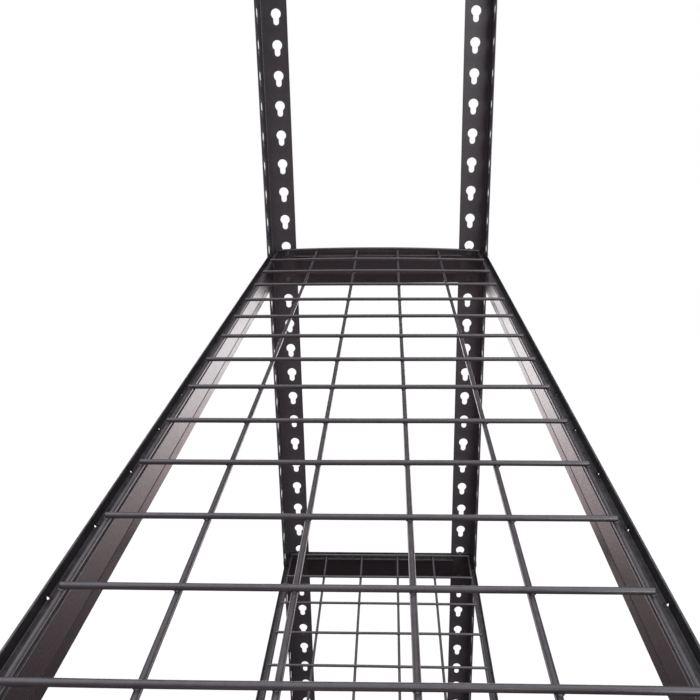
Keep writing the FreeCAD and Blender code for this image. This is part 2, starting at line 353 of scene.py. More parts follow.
def groupNode(tree, key, values, links):
    node = tree.nodes.new("ShaderNodeGroup")
    node.node_tree = shaderGroups[key]
    for label, value in values.items():
        node.inputs[label].default_value = value
    for label, socket in links.items():
        tree.links.new(socket, node.inputs[label])
    return node


def coatMaterial(name):
    values, layers = coatValues[name], layerValues
    material = bpy.data.materials.new(name)
    material.use_nodes = True
    tree = material.node_tree
    shader = tree.nodes["Principled BSDF"]
    place = tree.nodes.new("ShaderNodeTexCoord").outputs["Object"]
    edge = tree.nodes.new("ShaderNodeAttribute")
    edge.attribute_name = "rim"
    coat = groupNode(tree, "powder", {
        "Colour": (*values["colour"], 1), "Thin Colour": (*values["thinColour"], 1),
        "Roughness": values["roughness"], "Roughness Spread": values["roughnessSpread"],
        "Peel Scale": values["peelScale"], "Peel Depth": values["peelDepth"],
    }, {"Vector": place})
    wearAndCreaseShade = groupNode(tree, "wearAndCreaseShade", {"Amount": values["edgeAmount"]},
                       {"Vector": place, "Edge": edge.outputs["Fac"]})
    dust = groupNode(tree, "dust", {"Amount": values["dustAmount"]}, {"Vector": place})
    colour = mixColour(tree, wearAndCreaseShade.outputs["Mask"], coat.outputs["Colour"], (*values["edgeColour"], 1))
    colour = mixColour(tree, dust.outputs["Mask"], colour, (*layers["dustColour"], 1))
    # painted shade: the crease line of the beam web is darkened to near black by the crease mask
    colour = mixColour(tree, wearAndCreaseShade.outputs["Crease Shade"], colour, (*layers["creaseShadeColour"], 1))
    dull = layers["dulling"]
    roughness = mathNode(tree, "MULTIPLY_ADD", dust.outputs["Mask"], dull, coat.outputs["Roughness"])
    roughness = mathNode(tree, "MULTIPLY_ADD", wearAndCreaseShade.outputs["Crease Shade"], dull, roughness, clamp=True)
    tree.links.new(colour, shader.inputs["Base Color"])
    tree.links.new(roughness, shader.inputs["Roughness"])
    tree.links.new(coat.outputs["Normal"], shader.inputs["Normal"])
    shader.inputs["Specular IOR Level"].default_value = values["specular"]
    return material


finishes = {name: coatMaterial(name) for name in coatValues}
print("materials ready")

postValues = {
    "flange": 0.036, "sheet": 0.0012, "innerBend": 0.0020, "pitch": 0.0381, "inset": 0.02175,
    "holeRadius": 0.00635, "neckWidth": 0.0072, "neckDrop": 0.0101,
    "lookShare": 0.35, "rim": 0.00035, "cellSteps": 14, "bendSteps": 6,
    "holeMask": (0, 0.6, 1, 0.7, 0.7, 1, 0.6, 0), "cutMask": (0.5, 0.8, 1, 0.8, 0.8, 1, 0.8, 0.5),
    "endMask": (0.5, 1, 1, 0.5), "bendMask": 0.25,
}


def keyholeReach(angles, lookFrom):
    # from a point inside, how far a ray goes before it leaves the union of the round hole and the neck
    v = postValues
    across, up = np.cos(angles), np.sin(angles)
    toHole = up * lookFrom
    reach = toHole + np.sqrt(toHole ** 2 - lookFrom ** 2 + v["holeRadius"] ** 2)
    half = v["neckWidth"] / 2
    toFoot = v["neckDrop"] - lookFrom
    straight = half / np.maximum(np.abs(across), 1e-9)
    alongFoot = -up * toFoot
    rounded = alongFoot + np.sqrt(np.maximum(alongFoot ** 2 - toFoot ** 2 + half ** 2, 0))
    neck = np.where(up * straight > -toFoot, straight, rounded)
    return np.maximum(reach, np.where(up < 0, neck, 0))


def keyholeRings(lowZ, highZ, holeZ):
    # rings from the cell's border on the outer face, over the rounded rim and through the hole,
    # to the same border on the inner face
    v = postValues
    steps = v["cellSteps"]
    bend = v["innerBend"] + v["sheet"]
    run = np.arange(steps) / steps
    lowA, highA = bend, v["flange"] - v["rim"]
    border = np.concatenate([
        np.stack([lowA + run * (highA - lowA), np.full(steps, lowZ)], -1),
        np.stack([np.full(steps, highA), lowZ + run * (highZ - lowZ)], -1),
        np.stack([highA - run * (highA - lowA), np.full(steps, highZ)], -1),
        np.stack([np.full(steps, lowA), highZ - run * (highZ - lowZ)], -1),
    ])
    lookFrom = v["neckDrop"] * v["lookShare"]
    centre = np.array([v["inset"], holeZ - lookFrom])
    angles = np.arctan2(border[:, 1] - centre[1], border[:, 0] - centre[0])
    half = v["neckWidth"] / 2
    shoulderUp = lookFrom - math.sqrt(v["holeRadius"] ** 2 - half ** 2)
    for side in (half, -half):
        shoulder = math.atan2(shoulderUp, side)
        angles[np.argmin(np.abs(angles - shoulder))] = shoulder
    rays = np.stack([np.cos(angles), np.sin(angles)], -1)
    outline = centre + keyholeReach(angles, lookFrom)[:, None] * rays
    along = np.roll(outline, -1, 0) - np.roll(outline, 1, 0)
    out = np.stack([along[:, 1], -along[:, 0]], -1)
    out /= np.linalg.norm(out, axis=1)[:, None]
    rim, sheet = v["rim"], v["sheet"]
    turn = np.radians([0, 45, 90])
    offsets = np.concatenate([rim * (1 - np.sin(turn)), rim * (1 - np.sin(turn[::-1]))])
    depths = np.concatenate([rim * (1 - np.cos(turn)), sheet - rim * (1 - np.cos(turn[::-1]))])
    rings = outline[None] + offsets[:, None, None] * out[None]
    rings = np.concatenate([border[None], rings, border[None]])
    depths = np.concatenate([[0], depths, [sheet]])
    flange = np.empty(rings.shape[:2] + (3,))
    flange[..., 0] = rings[..., 0]
    flange[..., 1] = depths[:, None]
    flange[..., 2] = rings[..., 1]
    return flange


def rimProfile(reach, sheet, rim):
    # across a sheet's cut edge: a quarter round, the flat of the edge, a quarter round
    turn = np.radians([0, 30, 60, 90])
    first = np.stack([reach - rim + rim * np.sin(turn), rim - rim * np.cos(turn)], -1)
    second = first[::-1].copy()
    second[:, 1] = sheet - second[:, 1]
    return np.concatenate([first, second])


def buildPostMesh(bottom, top):
    v = postValues
    rim, sheet, pitch = v["rim"], v["sheet"], v["pitch"]
    count = round((top - bottom) / pitch)
    shell = Shell()
    rows = []
    mask = np.array(v["holeMask"])[:, None]
    for cell in range(count):
        lowZ = bottom + cell * pitch + (rim if cell == 0 else 0)
        highZ = bottom + (cell + 1) * pitch - (rim if cell == count - 1 else 0)
        flange = keyholeRings(lowZ, highZ, bottom + (cell + 0.5) * pitch)
        faces = gridFaces(flange.shape[0], flange.shape[1], closed=True)
        shell.add(flange, faces, mask)
        shell.add(flange[..., [1, 0, 2]], faces[:, ::-1], mask)
        rows.append(np.linspace(lowZ, highZ, v["cellSteps"] + 1)[:-1])
    rows = np.concatenate(rows + [[top - rim]])
    bend = v["innerBend"] + sheet
    turn = np.linspace(0, math.pi / 2, v["bendSteps"] + 1)
    outer = np.stack([bend - bend * np.sin(turn), bend - bend * np.cos(turn)], -1)
    inner = np.stack([bend - v["innerBend"] * np.sin(turn), bend - v["innerBend"] * np.cos(turn)], -1)
    cut = rimProfile(v["flange"], sheet, rim)
    cutMask = np.array(v["cutMask"])
    strips = [(outer, -1, v["bendMask"]), (inner, 1, 0.0), (cut, -1, cutMask), (cut[:, ::-1], 1, cutMask)]
    for profile, facing, amount in strips:
        points = np.empty((len(rows), len(profile), 3))
        points[..., :2] = profile[None]
        points[..., 2] = rows[:, None]
        faces = gridFaces(len(rows), len(profile))[:, ::facing]
        shell.add(points, faces, np.broadcast_to(amount, len(profile)))
    addPostEnd(shell, outer, inner, cut, top, -rim, 1)
    addPostEnd(shell, outer, inner, cut, bottom, rim, -1)
    return shell.welded()


def addPostEnd(shell, outer, inner, cut, height, inset, facing):
    # the sheet's end: both faces' contours are pulled in by the rim and joined across the thickness
    v = postValues
    along = np.linspace(v["flange"] - v["rim"], v["innerBend"] + v["sheet"], v["cellSteps"] + 1)
    outline = []
    for depth, arc in ((0.0, outer), (v["sheet"], inner)):
        straight = np.stack([along, np.full(len(along), depth)], -1)
        outline.append(np.concatenate([straight, arc[1:-1], straight[::-1, ::-1]]))
    outside, inside = outline
    step = (inside - outside) / np.linalg.norm(inside - outside, axis=1)[:, None] * v["rim"]
    strip = np.empty((4, len(outside), 3))
    strip[0, :, :2], strip[1, :, :2] = outside, outside + step
    strip[2, :, :2], strip[3, :, :2] = inside - step, inside
    strip[:, :, 2] = np.array([height + inset, height, height, height + inset])[:, None]
    faces = gridFaces(4, len(outside))
    shell.add(strip, faces[:, ::facing], np.array(v["endMask"])[:, None])
    for profile, place, order in ((cut, 0, 1), (cut[:, ::-1], -1, -1)):
        ring = np.concatenate([profile, inside[place:][:1] - step[place:][:1],
                               outside[place:][:1] + step[place:][:1]])
        points = np.empty((len(ring), 3))
        points[:, :2] = ring
        points[:, 2] = height + inset
        points[-2:, 2] = height
        face = np.arange(len(ring))[None, ::order * facing]
        shell.add(points, face, 1.0)


def buildPosts():
    low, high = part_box("post_front_left")
    points, masks, groups = buildPostMesh(low.z, high.z)
    for corner, turn in cornerTurns.items():
        node, name = "post_" + corner, "slottedPost_" + corner
        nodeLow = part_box(node)[0]
        placed = turnedAboutZ(points, turn)
        placed[:, 0] += nodeLow.x - placed[:, 0].min()
        placed[:, 1] += nodeLow.y - placed[:, 1].min()
        mesh = meshFrom(name, placed, masks, groups)
        addPiece(name, mesh, "frame", [node], finishes["postCoat"])


buildPosts()
print("posts built")

beamValues = {
    "height": 0.048, "sheet": 0.0012, "webTop": 0.037, "lip": 0.0068, "ledge": 0.008, "hemGap": 0.0002,
    "foldRadius": 0.0012, "rim": 0.00035, "bendSteps": 6, "stationSpacing": 0.02,
    "edgeTurns": (0, 30, 60, 90), "edgeMask": (0.5, 0.9, 1, 0.9), "plateMask": (0.5, 1, 0.6, 0.6, 1, 0.5),
    "creaseHeight": 0.011, "creaseBulge": 0.0012, "creaseDip": 0.00022, "creaseSpan": 0.00045,
    "creaseRunOut": 0.012, "runOutSteps": 6, "rivetSetback": 0.01145, "cornerCut": 0.003,
    "drainRadius": 0.0014, "drainOffset": 0.003, "drillReach": 0.003, "drillLength": 0.008, "drillSides": 20,
}


def foldedLine():
    # middle line of the folded strip, from the web's bottom edge round the ledge to the lip's top edge
    v = beamValues
    half = v["sheet"] / 2
    upper = v["height"] - v["lip"] - half
    lower = upper - v["sheet"] - v["hemGap"]
    hem = v["sheet"] + v["ledge"] - half
    hemRadius = (upper - lower) / 2
    span = v["creaseSpan"]
    steps = (-2 * span, -span, 0, span, 2 * span)
    marks = [mark + step for mark in (v["creaseHeight"], v["webTop"]) for step in steps]
    corners = [(half, 0), *((half, mark) for mark in marks), (half, lower), (hem, lower),
               (hem, upper), (half, upper), (half, v["height"])]
    bends = [0] * (1 + len(marks)) + [v["foldRadius"], hemRadius, hemRadius, v["foldRadius"], 0]
    return np.array(corners), bends


def sheetSides(corners, bends, sheet, steps):
    # samples of the middle line and the unit normal there; a bend is an arc about its own centre
    middles, normals = [corners[0]], []
    tangents = np.diff(corners, axis=0)
    tangents /= np.linalg.norm(tangents, axis=1)[:, None]
    lefts = np.stack([-tangents[:, 1], tangents[:, 0]], -1)
    normals.append(lefts[0])
    for index in range(1, len(corners) - 1):
        before, after = lefts[index - 1], lefts[index]
        if bends[index] == 0:
            middles.append(corners[index])
            normals.append((before + after) / (1 + before @ after))
            continue
        turn = math.atan2(before[0] * after[1] - before[1] * after[0], before @ after)
        reach = bends[index] * math.tan(abs(turn) / 2)
        centre = corners[index] - tangents[index - 1] * reach + before * math.copysign(bends[index], turn)
        angles = math.atan2(before[1], before[0]) + np.linspace(0, turn, steps + 1)
        fan = np.stack([np.cos(angles), np.sin(angles)], -1)
        middles.extend(centre - fan * math.copysign(bends[index], turn))
        normals.extend(fan)
    middles.append(corners[-1])
    normals.append(lefts[-1])
    middles, normals = np.array(middles), np.array(normals)
    return middles + normals * sheet / 2, middles - normals * sheet / 2, tangents[0], tangents[-1]


def roundedLoop(left, right, startTangent, endTangent, sheet, rim):
    # one closed outline: left side, rounded end, right side back, rounded start
    turn = np.radians(beamValues["edgeTurns"])[:, None]
    edgeMask = np.array(beamValues["edgeMask"])
    loops, masks = [], []
    for first, second, tangent, middle in ((left, right, endTangent, left[1:-1]),
                                           (right[::-1], left[::-1], -startTangent, right[::-1][1:-1])):
        across = (first[-1] - second[-1]) / sheet
        nearCentre = first[-1] - across * rim - tangent * rim
        farCentre = second[-1] + across * rim - tangent * rim
        near = nearCentre + rim * (np.cos(turn) * across + np.sin(turn) * tangent)
        far = farCentre + rim * (-np.cos(turn) * across + np.sin(turn) * tangent)
        loops += [middle, near, far[::-1]]
        masks += [np.zeros(len(middle)), edgeMask, edgeMask[::-1]]
    return np.concatenate(loops), np.concatenate(masks)


def crossFaces(samples, capCorners):
    # the loop's cap: strips between its two sides, then one face at each rounded edge
    count = samples - 2
    first = np.arange(count)
    second = count + 2 * capCorners + count - 1 - first
    strips = np.stack([first[:-1], first[1:], second[1:], second[:-1]], -1)
    topEdge = np.concatenate([[first[-1]], np.arange(count, count + 2 * capCorners), [second[-1]]])
    total = 2 * (count + 2 * capCorners)
    bottomEdge = np.concatenate([[second[0]], np.arange(total - 2 * capCorners, total), [first[0]]])
    return [strips, topEdge[None], bottomEdge[None]]


def hollowWeb(up):
    # inward push of the web: rises evenly to the crease, then falls evenly to the web's top,
    # less a narrow V-shaped dip along the crease itself, where the press has scored the sheet
    v = beamValues
    rise = up / v["creaseHeight"]
    fall = (v["webTop"] - up) / (v["webTop"] - v["creaseHeight"])
    dip = np.clip(1 - np.abs(up - v["creaseHeight"]) / v["creaseSpan"], 0, 1)
    return v["creaseBulge"] * np.clip(np.minimum(rise, fall), 0, 1) - v["creaseDip"] * dip


def sweptBar(loop, masks, caps, stations, bulges):
    # the loop carried along x; the web is pushed in by its share at each station
    v = beamValues
    points = np.empty((len(stations), len(loop), 3))
    points[..., 0] = stations[:, None]
    points[..., 1] = loop[None, :, 0] + bulges[:, None] * hollowWeb(loop[None, :, 1])
    points[..., 2] = loop[None, :, 1]
    shell = Shell()
    # points along the crease get a negative edge mask, which the coat turns into painted shade, a dark line
    atCrease = np.abs(loop[:, 1] - v["creaseHeight"]) < 1.1 * v["creaseSpan"]
    creaseShade = np.where(atCrease, -1.0, 0.0)
    shell.add(points, gridFaces(len(stations), len(loop), closed=True), masks + bulges[:, None] * creaseShade)
    last = (len(stations) - 1) * len(loop)
    for cap in caps:
        shell.faces.append(cap[:, ::-1])
        shell.faces.append(cap + last)
    return shell


def endPlate(inner, outer, side):
    # flat end of a beam: a rectangle with two cut corners, its outline pulled in by the rim on both faces
    v = beamValues
    cut, height, sheet, rim = v["cornerCut"], v["height"], v["sheet"], v["rim"]
    outline = np.array([(inner, 0), (outer - cut, 0), (outer, cut), (outer, height - cut),
                        (outer - cut, height), (inner, height)])
    lean = 0.41  # sideways pull at a corner between two sides 45 degrees apart
    pulls = np.array([(0, 1), (-lean, 1), (-1, lean), (-1, -lean), (-lean, -1), (0, -1)])
    turn = np.radians([0, 45, 90])
    inset = np.concatenate([rim * (1 - np.cos(turn[::-1])), rim * (1 - np.cos(turn))])
    depth = np.concatenate([rim * (1 - np.sin(turn[::-1])), sheet - rim * (1 - np.sin(turn))])
    rings = outline[None] + inset[:, None, None] * pulls[None]
    points = np.empty((len(inset), len(outline), 3))
    points[..., 0] = side * rings[..., 0]
    points[..., 1] = depth[:, None]
    points[..., 2] = rings[..., 1]
    shell = Shell()
    shell.addCapped(points, np.array(v["plateMask"])[:, None])
    return shell


def pierced(points, masks, groups, places):
    # round drains pierced at 45 degrees through the fold between ledge and lip
    v = beamValues
    base = meshFrom("foldedBar", points, masks, groups)
    bar = bpy.data.objects.new("foldedBar", base)
    bpy.context.scene.collection.objects.link(bar)
    angles = np.arange(v["drillSides"]) * 2 * math.pi / v["drillSides"]
    slant = np.array([0, -1, -1]) / math.sqrt(2)
    across = np.array([0, -1, 1]) / math.sqrt(2)
    ring = np.cos(angles)[:, None] * np.array([1, 0, 0]) + np.sin(angles)[:, None] * across
    start = np.array([0, v["sheet"] + v["drillReach"], v["height"] - v["lip"] + v["drillReach"]])
    drill = Shell()
    for place in places:
        ends = np.array([0, v["drillLength"]])[:, None, None] * slant + v["drainRadius"] * ring[None]
        drill.addCapped(ends + start + np.array([place, 0, 0]))
    drillPoints, drillMasks, drillGroups = drill.welded()
    tool = bpy.data.objects.new("drill", meshFrom("drill", drillPoints, drillMasks, drillGroups))
    bpy.context.scene.collection.objects.link(tool)
    cut = bar.modifiers.new("drains", "BOOLEAN")
    cut.operation = "DIFFERENCE"
    cut.solver = "EXACT"
    cut.object = tool
    made = bpy.data.meshes.new_from_object(bar.evaluated_get(bpy.context.evaluated_depsgraph_get()))
    bpy.data.objects.remove(tool)
    bpy.data.objects.remove(bar)
    return made


def meshParts(mesh):
    # points, edge mask and faces of a mesh, with the faces grouped by their number of corners
    points = np.empty(len(mesh.vertices) * 3)
    mesh.vertices.foreach_get("co", points)
    masks = np.zeros(len(mesh.vertices))
    mesh.attributes["rim"].data.foreach_get("value", masks)
    corners = np.empty(len(mesh.loops), np.int32)
    mesh.loops.foreach_get("vertex_index", corners)
    starts, counts = np.empty((2, len(mesh.polygons)), np.int32)
    mesh.polygons.foreach_get("loop_start", starts)
    mesh.polygons.foreach_get("loop_total", counts)
    groups = [corners[starts[counts == count][:, None] + np.arange(count)] for count in np.unique(counts)]
    return points.reshape(-1, 3), masks, groups


def buildBeamMesh(halfLength, rivetPlace, drains):
    v = beamValues
    corners, bends = foldedLine()
    left, right, startTangent, endTangent = sheetSides(corners, bends, v["sheet"], v["bendSteps"])
    loop, masks = roundedLoop(left, right, startTangent, endTangent, v["sheet"], v["rim"])
    caps = crossFaces(len(left), len(v["edgeTurns"]))
    ledgeEnd = rivetPlace - v["rivetSetback"]
    creaseEnd = ledgeEnd - v["creaseRunOut"]
    count = max(4, round(2 * creaseEnd / v["stationSpacing"]))
    middle = np.linspace(-creaseEnd, creaseEnd, count + 1)
    fade = np.linspace(0, 1, v["runOutSteps"] + 1)[1:]
    tail = creaseEnd + fade * v["creaseRunOut"]
    stations = np.concatenate([-tail[::-1], middle, tail])
    ease = 1 - fade * fade * (3 - 2 * fade)
    bulges = np.concatenate([ease[::-1], np.ones(len(middle)), ease])
    points, pointMasks, groups = sweptBar(loop, masks, caps, stations, bulges).welded()
    if len(drains):
        points, pointMasks, groups = meshParts(pierced(points, pointMasks, groups, drains))
    allPoints, allMasks, allGroups = [points], [pointMasks], list(groups)
    total = len(points)
    for side in (1, -1):
        platePoints, plateMasks, plateGroups = endPlate(ledgeEnd, halfLength, side).welded()
        allPoints.append(platePoints)
        allMasks.append(plateMasks)
        allGroups += [group + total for group in plateGroups]
        total += len(platePoints)
    return np.concatenate(allPoints), np.concatenate(allMasks), allGroups


deckValues = {
    "diameter": 0.0035, "longWires": 6, "longPitch": 0.0564, "innerCrossWires": 14, "crossPitch": 0.0609,
    "sides": 16, "endRound": 0.0012, "endTurns": (75, 55, 35, 18), "stepLength": 0.006,
    "placeJitter": 0.00035, "bend": 0.00035, "seed": 40,
    "weldReach": 0.00215, "weldHeight": 0.0011, "weldSides": 12, "weldRows": 4, "weldLobes": (4, 0.10),
    "weldSpread": (-0.08, 0.10), "weldMask": 0.3,
    "bowLevel": 3, "bowRise": 0.0045, "bowFade": 0.096, "bowCentre": -0.02,
}


def evenlySpaced(count, pitch):
    return (np.arange(count) - (count - 1) / 2) * pitch


def crossPlaces(level):
    v = deckValues
    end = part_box(f"deck_cross_wires_{level}")[1].x - v["diameter"] / 2
    return np.concatenate([[-end], evenlySpaced(v["innerCrossWires"], v["crossPitch"]), [end]])


def beamDistance(node, side):
    # how far the beam's outer face stands from the middle of the unit
    low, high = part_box(node)
    return {"front": -low.y, "back": high.y, "left": -low.x, "right": high.x}[side]


def rivetReach(side, level):
    # how far the rivets' axes stand from the middle of their beam
    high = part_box(f"rivets_{side}_{level}")[1]
    return (high.x if side in longSides else high.y) - rivetValues["headRadius"]


def buildBeams():
    v = beamValues
    places = crossPlaces(1)[1:-1] + v["drainOffset"]
    made = {}
    for side in sideTurns:
        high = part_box(f"beam_{side}_1")[1]
        rivetPlace = rivetReach(side, 1)
        drainsEnd = rivetPlace - v["rivetSetback"] - 2 * v["drainRadius"]
        drains = places if side == "front" else -places
        drains = drains[(np.abs(drains) < drainsEnd) & (side in longSides)]
        made[side] = buildBeamMesh(high.x if side in longSides else high.y, rivetPlace, drains)
    for level in levels:
        for side, turn in sideTurns.items():
            node = f"beam_{side}_{level}"
            points, masks, groups = made[side]
            placed = turnedAboutZ(points - np.array([0, beamDistance(node, side), 0]), turn)
            placed[:, 2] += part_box(node)[0].z
            name = f"foldedBeam_{side}_{level}"
            mesh = meshFrom(name, placed, masks, groups)
            addPiece(name, mesh, f"shelf{level}_{side}_beam", [node], finishes["beamCoat"])


rivetValues = {
    "headRadius": 0.00575, "headRim": 0.0007, "headHeight": 0.0020, "shankRadius": 0.0031,
    "neckRadius": 0.0024, "tailRadius": 0.0045, "tailHeight": 0.0012, "grip": 0.0018, "rowGap": 0.0381,
    "edgeRound": 0.0003, "sides": 28, "headSteps": 7, "tailSteps": 6, "fullness": 0.8,
}


def domeProfile(radius, rim, rise, steps):
    # from the rim to the crown of a shallow dome: a flat ellipse, a little fuller than a sphere's cap
    turn = np.linspace(0, math.pi / 2, steps + 1)[:-1]
    return np.stack([radius * np.cos(turn) ** rivetValues["fullness"], rim + rise * np.sin(turn)], -1)


def buildRivetShell():
    # profile (radius, outward) turned about the rivet's axis; outward is measured from the beam's face
    v = rivetValues
    sheet = beamValues["sheet"]
    rim, tailRim = v["headRim"], v["tailHeight"] / 3
    head = domeProfile(v["headRadius"], v["grip"] + rim, v["headHeight"] - rim, v["headSteps"])
    tail = domeProfile(v["tailRadius"], tailRim, v["tailHeight"] - tailRim, v["tailSteps"])
    tail[:, 1] = -sheet - tail[:, 1]
    edge = v["edgeRound"]
    profile = np.concatenate([
        head[::-1],
        [(v["headRadius"], v["grip"] + edge), (v["headRadius"] - edge, v["grip"]),
         (v["shankRadius"], v["grip"]), (v["shankRadius"], 0), (v["neckRadius"], 0),
         (v["neckRadius"], -sheet), (v["tailRadius"] - edge, -sheet)],
        tail,
    ])
    angles = np.arange(v["sides"]) * 2 * math.pi / v["sides"]
    rings = np.empty((len(profile), v["sides"], 3))
    rings[..., 0] = profile[:, :1] * np.cos(angles)
    rings[..., 1] = -profile[:, 1:]
    rings[..., 2] = profile[:, :1] * np.sin(angles)
    crowns = np.array([[0, -(v["grip"] + v["headHeight"]), 0], [0, sheet + v["tailHeight"], 0]])
    mask = np.clip(1 - np.abs(np.arange(len(profile)) - 4) / 5, 0, 1)
    return rings, crowns, mask


def buildRivets():
    v = rivetValues
    rings, crowns, mask = buildRivetShell()
    for level in levels:
        for side, turn in sideTurns.items():
            node = f"rivets_{side}_{level}"
            distance = beamDistance(f"beam_{side}_{level}", side)
            place = rivetReach(side, level)
            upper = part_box(node)[1].z - v["headRadius"]
            shell = Shell()
            for end in (1, -1):
                for row in (0, 1):
                    centre = np.array([end * place, -distance, upper - row * v["rowGap"]])
                    shell.addPointed(rings + centre, crowns + centre, mask[:, None])
            points, masks, groups = shell.welded()
            placed = turnedAboutZ(points, turn)
            name = f"domedRivets_{side}_{level}"
            mesh = meshFrom(name, placed, masks, groups)
            addPiece(name, mesh, f"shelf{level}_{side}_beam", [node], finishes["rivetCoat"])


buildBeams()
print("beams built")
buildRivets()
print("rivets built")


def roundWire(start, end, bends, rise):
    # circles carried along a nearly straight line; near each end the radius follows an ellipse to a point,
    # and the line strays sideways by one long wave and one half as long
    v = deckValues
    length = float(np.linalg.norm(end - start))
    direction = (end - start) / length
    sideways = np.cross(np.array([0.0, 0.0, 1.0]), direction)
    inner = np.linspace(v["endRound"], length - v["endRound"], max(8, round(length / v["stepLength"])))
    turn = np.radians(v["endTurns"])
    cap = v["endRound"] * (1 - np.sin(turn))
    stations = np.concatenate([cap, inner, length - cap[::-1]])
    radii = np.concatenate([np.cos(turn), np.ones(len(inner)), np.cos(turn[::-1])]) * v["diameter"] / 2
    share = stations / length
    stray = bends[0] * np.sin(math.pi * share) + bends[1] * np.sin(2 * math.pi * share)
    middle = start + stations[:, None] * direction + stray[:, None] * sideways
    middle[:, 2] += rise(middle)
    angles = np.arange(v["sides"]) * 2 * math.pi / v["sides"]
    along = np.gradient(middle, axis=0)
    along /= np.linalg.norm(along, axis=1)[:, None]
    upward = np.cross(along, sideways)
    upward /= np.linalg.norm(upward, axis=1)[:, None]
    rings = middle[:, None] + radii[:, None, None] * (
        np.cos(angles)[None, :, None] * sideways + np.sin(angles)[None, :, None] * upward[:, None])
    tips = np.array([start, end], float)
    tips[:, 2] += rise(tips)
    return rings, tips


def addWire(shell, rings, tips):
    mask = np.zeros((len(rings), 1))
    ends = len(deckValues["endTurns"])
    mask[:ends] = mask[-ends:] = 1
    shell.addPointed(rings, tips, mask)


def addWelds(shell, centres, random):
    # squeezed metal round each crossing: a flat ellipsoid, a little uneven, from rings of latitude
    v = deckValues
    turn = np.linspace(-math.pi / 2, math.pi / 2, v["weldRows"] + 2)[1:-1]
    angles = np.arange(v["weldSides"]) * 2 * math.pi / v["weldSides"]
    reach = v["weldReach"] * (1 + random.uniform(*v["weldSpread"], (len(centres), 1, 1)))
    lobeCount, lobeReach = v["weldLobes"]
    lobes = 1 + lobeReach * np.cos(lobeCount * angles)[None, None]
    flat = np.cos(turn)[None, :, None] * reach * lobes
    for centre, ring in zip(centres, flat):
        points = np.empty(ring.shape + (3,))
        points[..., 0] = centre[0] + ring * np.cos(angles)
        points[..., 1] = centre[1] + ring * np.sin(angles)
        points[..., 2] = centre[2] + v["weldHeight"] * np.sin(turn)[:, None]
        shell.addCapped(points, v["weldMask"])


def buildDecks():
    v = deckValues
    for level in levels:
        random = np.random.default_rng(v["seed"] + level)
        longLow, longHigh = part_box(f"deck_long_wires_{level}")
        crossLow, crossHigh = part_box(f"deck_cross_wires_{level}")
        longZ = (longLow.z + longHigh.z) / 2
        crossZ = (crossLow.z + crossHigh.z) / 2
        halfDeck = crossHigh.y
        amount = v["bowRise"] if level == v["bowLevel"] else 0.0

        def rise(points):
            # the deck's far end is bowed up: strongest at the end, fading along x, zero at both sides
            fade = np.exp(-(points[..., 0] - crossLow.x) / v["bowFade"])
            share = (points[..., 1] - v["bowCentre"]) / (halfDeck + abs(v["bowCentre"]))
            return amount * fade * np.clip(1 - share ** 2, 0, 1)

        crossShell, longShell = Shell(), Shell()
        jitter = v["placeJitter"]
        places = crossPlaces(level)
        places[1:-1] += random.uniform(-jitter, jitter, len(places) - 2)
        rowsY = evenlySpaced(v["longWires"], v["longPitch"])
        for place in places:
            bends = random.uniform(-v["bend"], v["bend"], 2)
            ends = [np.array([place, side * halfDeck, crossZ]) for side in (-1.0, 1.0)]
            addWire(crossShell, *roundWire(*ends, bends, rise))
        for y in rowsY:
            bends = random.uniform(-v["bend"], v["bend"], 2)
            ends = [np.array([side * longHigh.x, y, longZ]) for side in (-1.0, 1.0)]
            addWire(longShell, *roundWire(*ends, bends, rise))
        crossings = np.meshgrid(places, rowsY, [(longZ + crossZ) / 2], indexing="ij")
        centres = np.stack(crossings, -1).reshape(-1, 3)
        centres[:, 2] += rise(centres)
        addWelds(crossShell, centres, random)
        for kind, shell in (("cross", crossShell), ("long", longShell)):
            points, masks, groups = shell.welded()
            name = f"{kind}Wires_{level}"
            mesh = meshFrom(name, points, masks, groups)
            addPiece(name, mesh, f"shelf{level}_deck", [f"deck_{kind}_wires_{level}"],
                     finishes["wireCoat"], evenNormals=False)


buildDecks()
print("wire decks built")

# the foot caps keep their own shape
for corner in cornerTurns:
    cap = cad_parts["foot_" + corner]
    for slot in cap.material_slots:
        slot.material = finishes["footPlastic"]
print("foot caps coated")

stageValues = {
    "floorSize": 40.0, "floorColour": (0.90, 0.90, 0.90), "floorRoughness": 0.8,
    "nearGlow": 0.90, "glowReach": (1.2, 4.0),
    "nearTint": (1.0, 0.74, 0.77), "farTint": (1.0, 0.95, 0.965),
    "bounceFrom": (-0.5, 0.15), "bounceTo": (-2.9, 3.3), "frontFrom": (0.5, 0.0), "frontTo": (2.2, 0.68),
    "skyTint": (0.94, 0.93, 1.0), "skyRim": (0.30, 0.015), "skyTop": (1.0, 2.6),
    "keyPower": 74.0, "keySize": 2.0, "keyPlace": (2.6, 1.5, 2.1),
    "fillPower": 4.0, "fillSize": 1.6, "fillPlace": (-1.6, -1.9, 2.2),
}
cameraValues = {
    "beyondEnd": 0.1184, "sideways": 0.0178, "aboveHole": -0.0030, "viewedSlot": 7,
    "pitch": 17.525, "yaw": -2.049, "roll": 0.759, "lens": 38.585, "shiftX": -0.0209, "shiftY": -0.0511,
}


def rangeNode(tree, value, low, high):
    # smooth change from one pair (at, value) to the other
    node = tree.nodes.new("ShaderNodeMapRange")
    node.interpolation_type = "SMOOTHSTEP"
    for label, number in zip(("From Min", "To Min", "From Max", "To Max"), (*low, *high)):
        node.inputs[label].default_value = number
    tree.links.new(value, node.inputs["Value"])
    return node.outputs["Result"]


